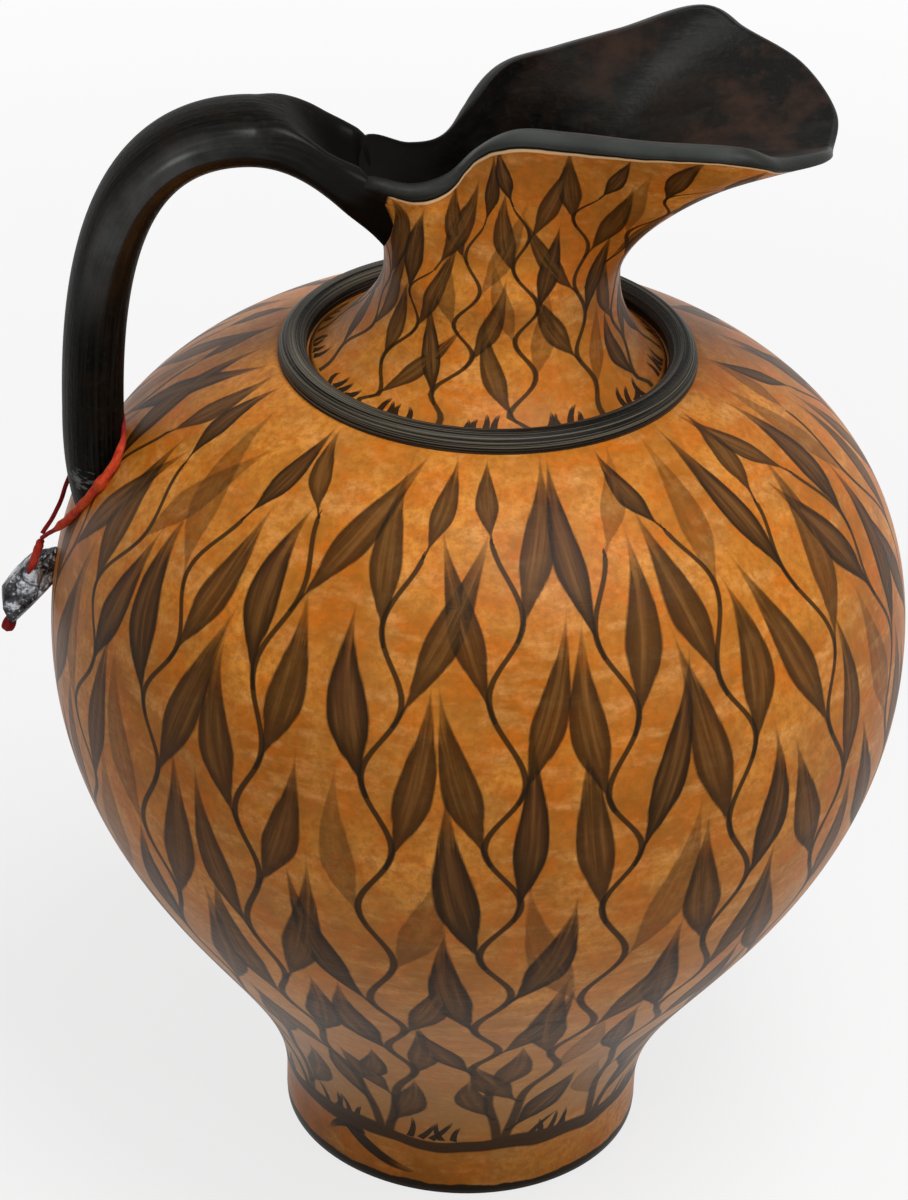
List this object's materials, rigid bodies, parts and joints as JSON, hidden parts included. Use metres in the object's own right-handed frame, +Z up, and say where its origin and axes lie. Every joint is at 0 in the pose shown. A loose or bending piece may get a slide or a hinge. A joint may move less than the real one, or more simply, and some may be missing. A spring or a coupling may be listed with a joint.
{
  "type": "ceramic jug",
  "caption": "Round-bellied terracotta pouring jug with a low foot, a raised collar ring, a broad leaf-shaped spout, a high strap handle and a lead seal hung on a red thread.",
  "frame": {"origin": "centre of the flat underside, on the surface that the jug stands on", "axes": "+Z up through the neck, +X ahead towards the spout's tip, the handle at -X, +Y to the left of someone who looks from the handle to the spout"},
  "size_m": [0.2122, 0.2004, 0.2786],
  "materials": {
    "clay": "burnished orange-brown earthenware with painted leaf sprays, satin",
    "slip": "brushed charcoal slip, burnished, semi-gloss",
    "thread": "twisted red cotton thread, matt",
    "lead": "crumpled grey lead, dull metallic"
  },
  "bodies": {
    "root": {"foot": "clay", "lower_body": "clay", "upper_body": "clay", "collar_ring": "slip", "neck_spout": "clay", "handle": "slip"},
    "cord": {"seal_cord": "thread"},
    "seal": {"cord_knot": "thread", "lead_seal": "lead", "thread_ends": "thread"}
  },
  "joints": [
    {"name": "cord_swing", "type": "hinge", "parent": "root", "child": "cord", "pos_m": [-0.08269, 0, 0.1915], "axis": [0, 1, 0], "range_deg": [0, 90]},
    {"name": "seal_swing", "type": "hinge", "parent": "cord", "child": "seal", "pos_m": [-0.10189, 0, 0.1601], "axis": [0, 1, 0], "range_deg": [0, 60]}
  ]
}
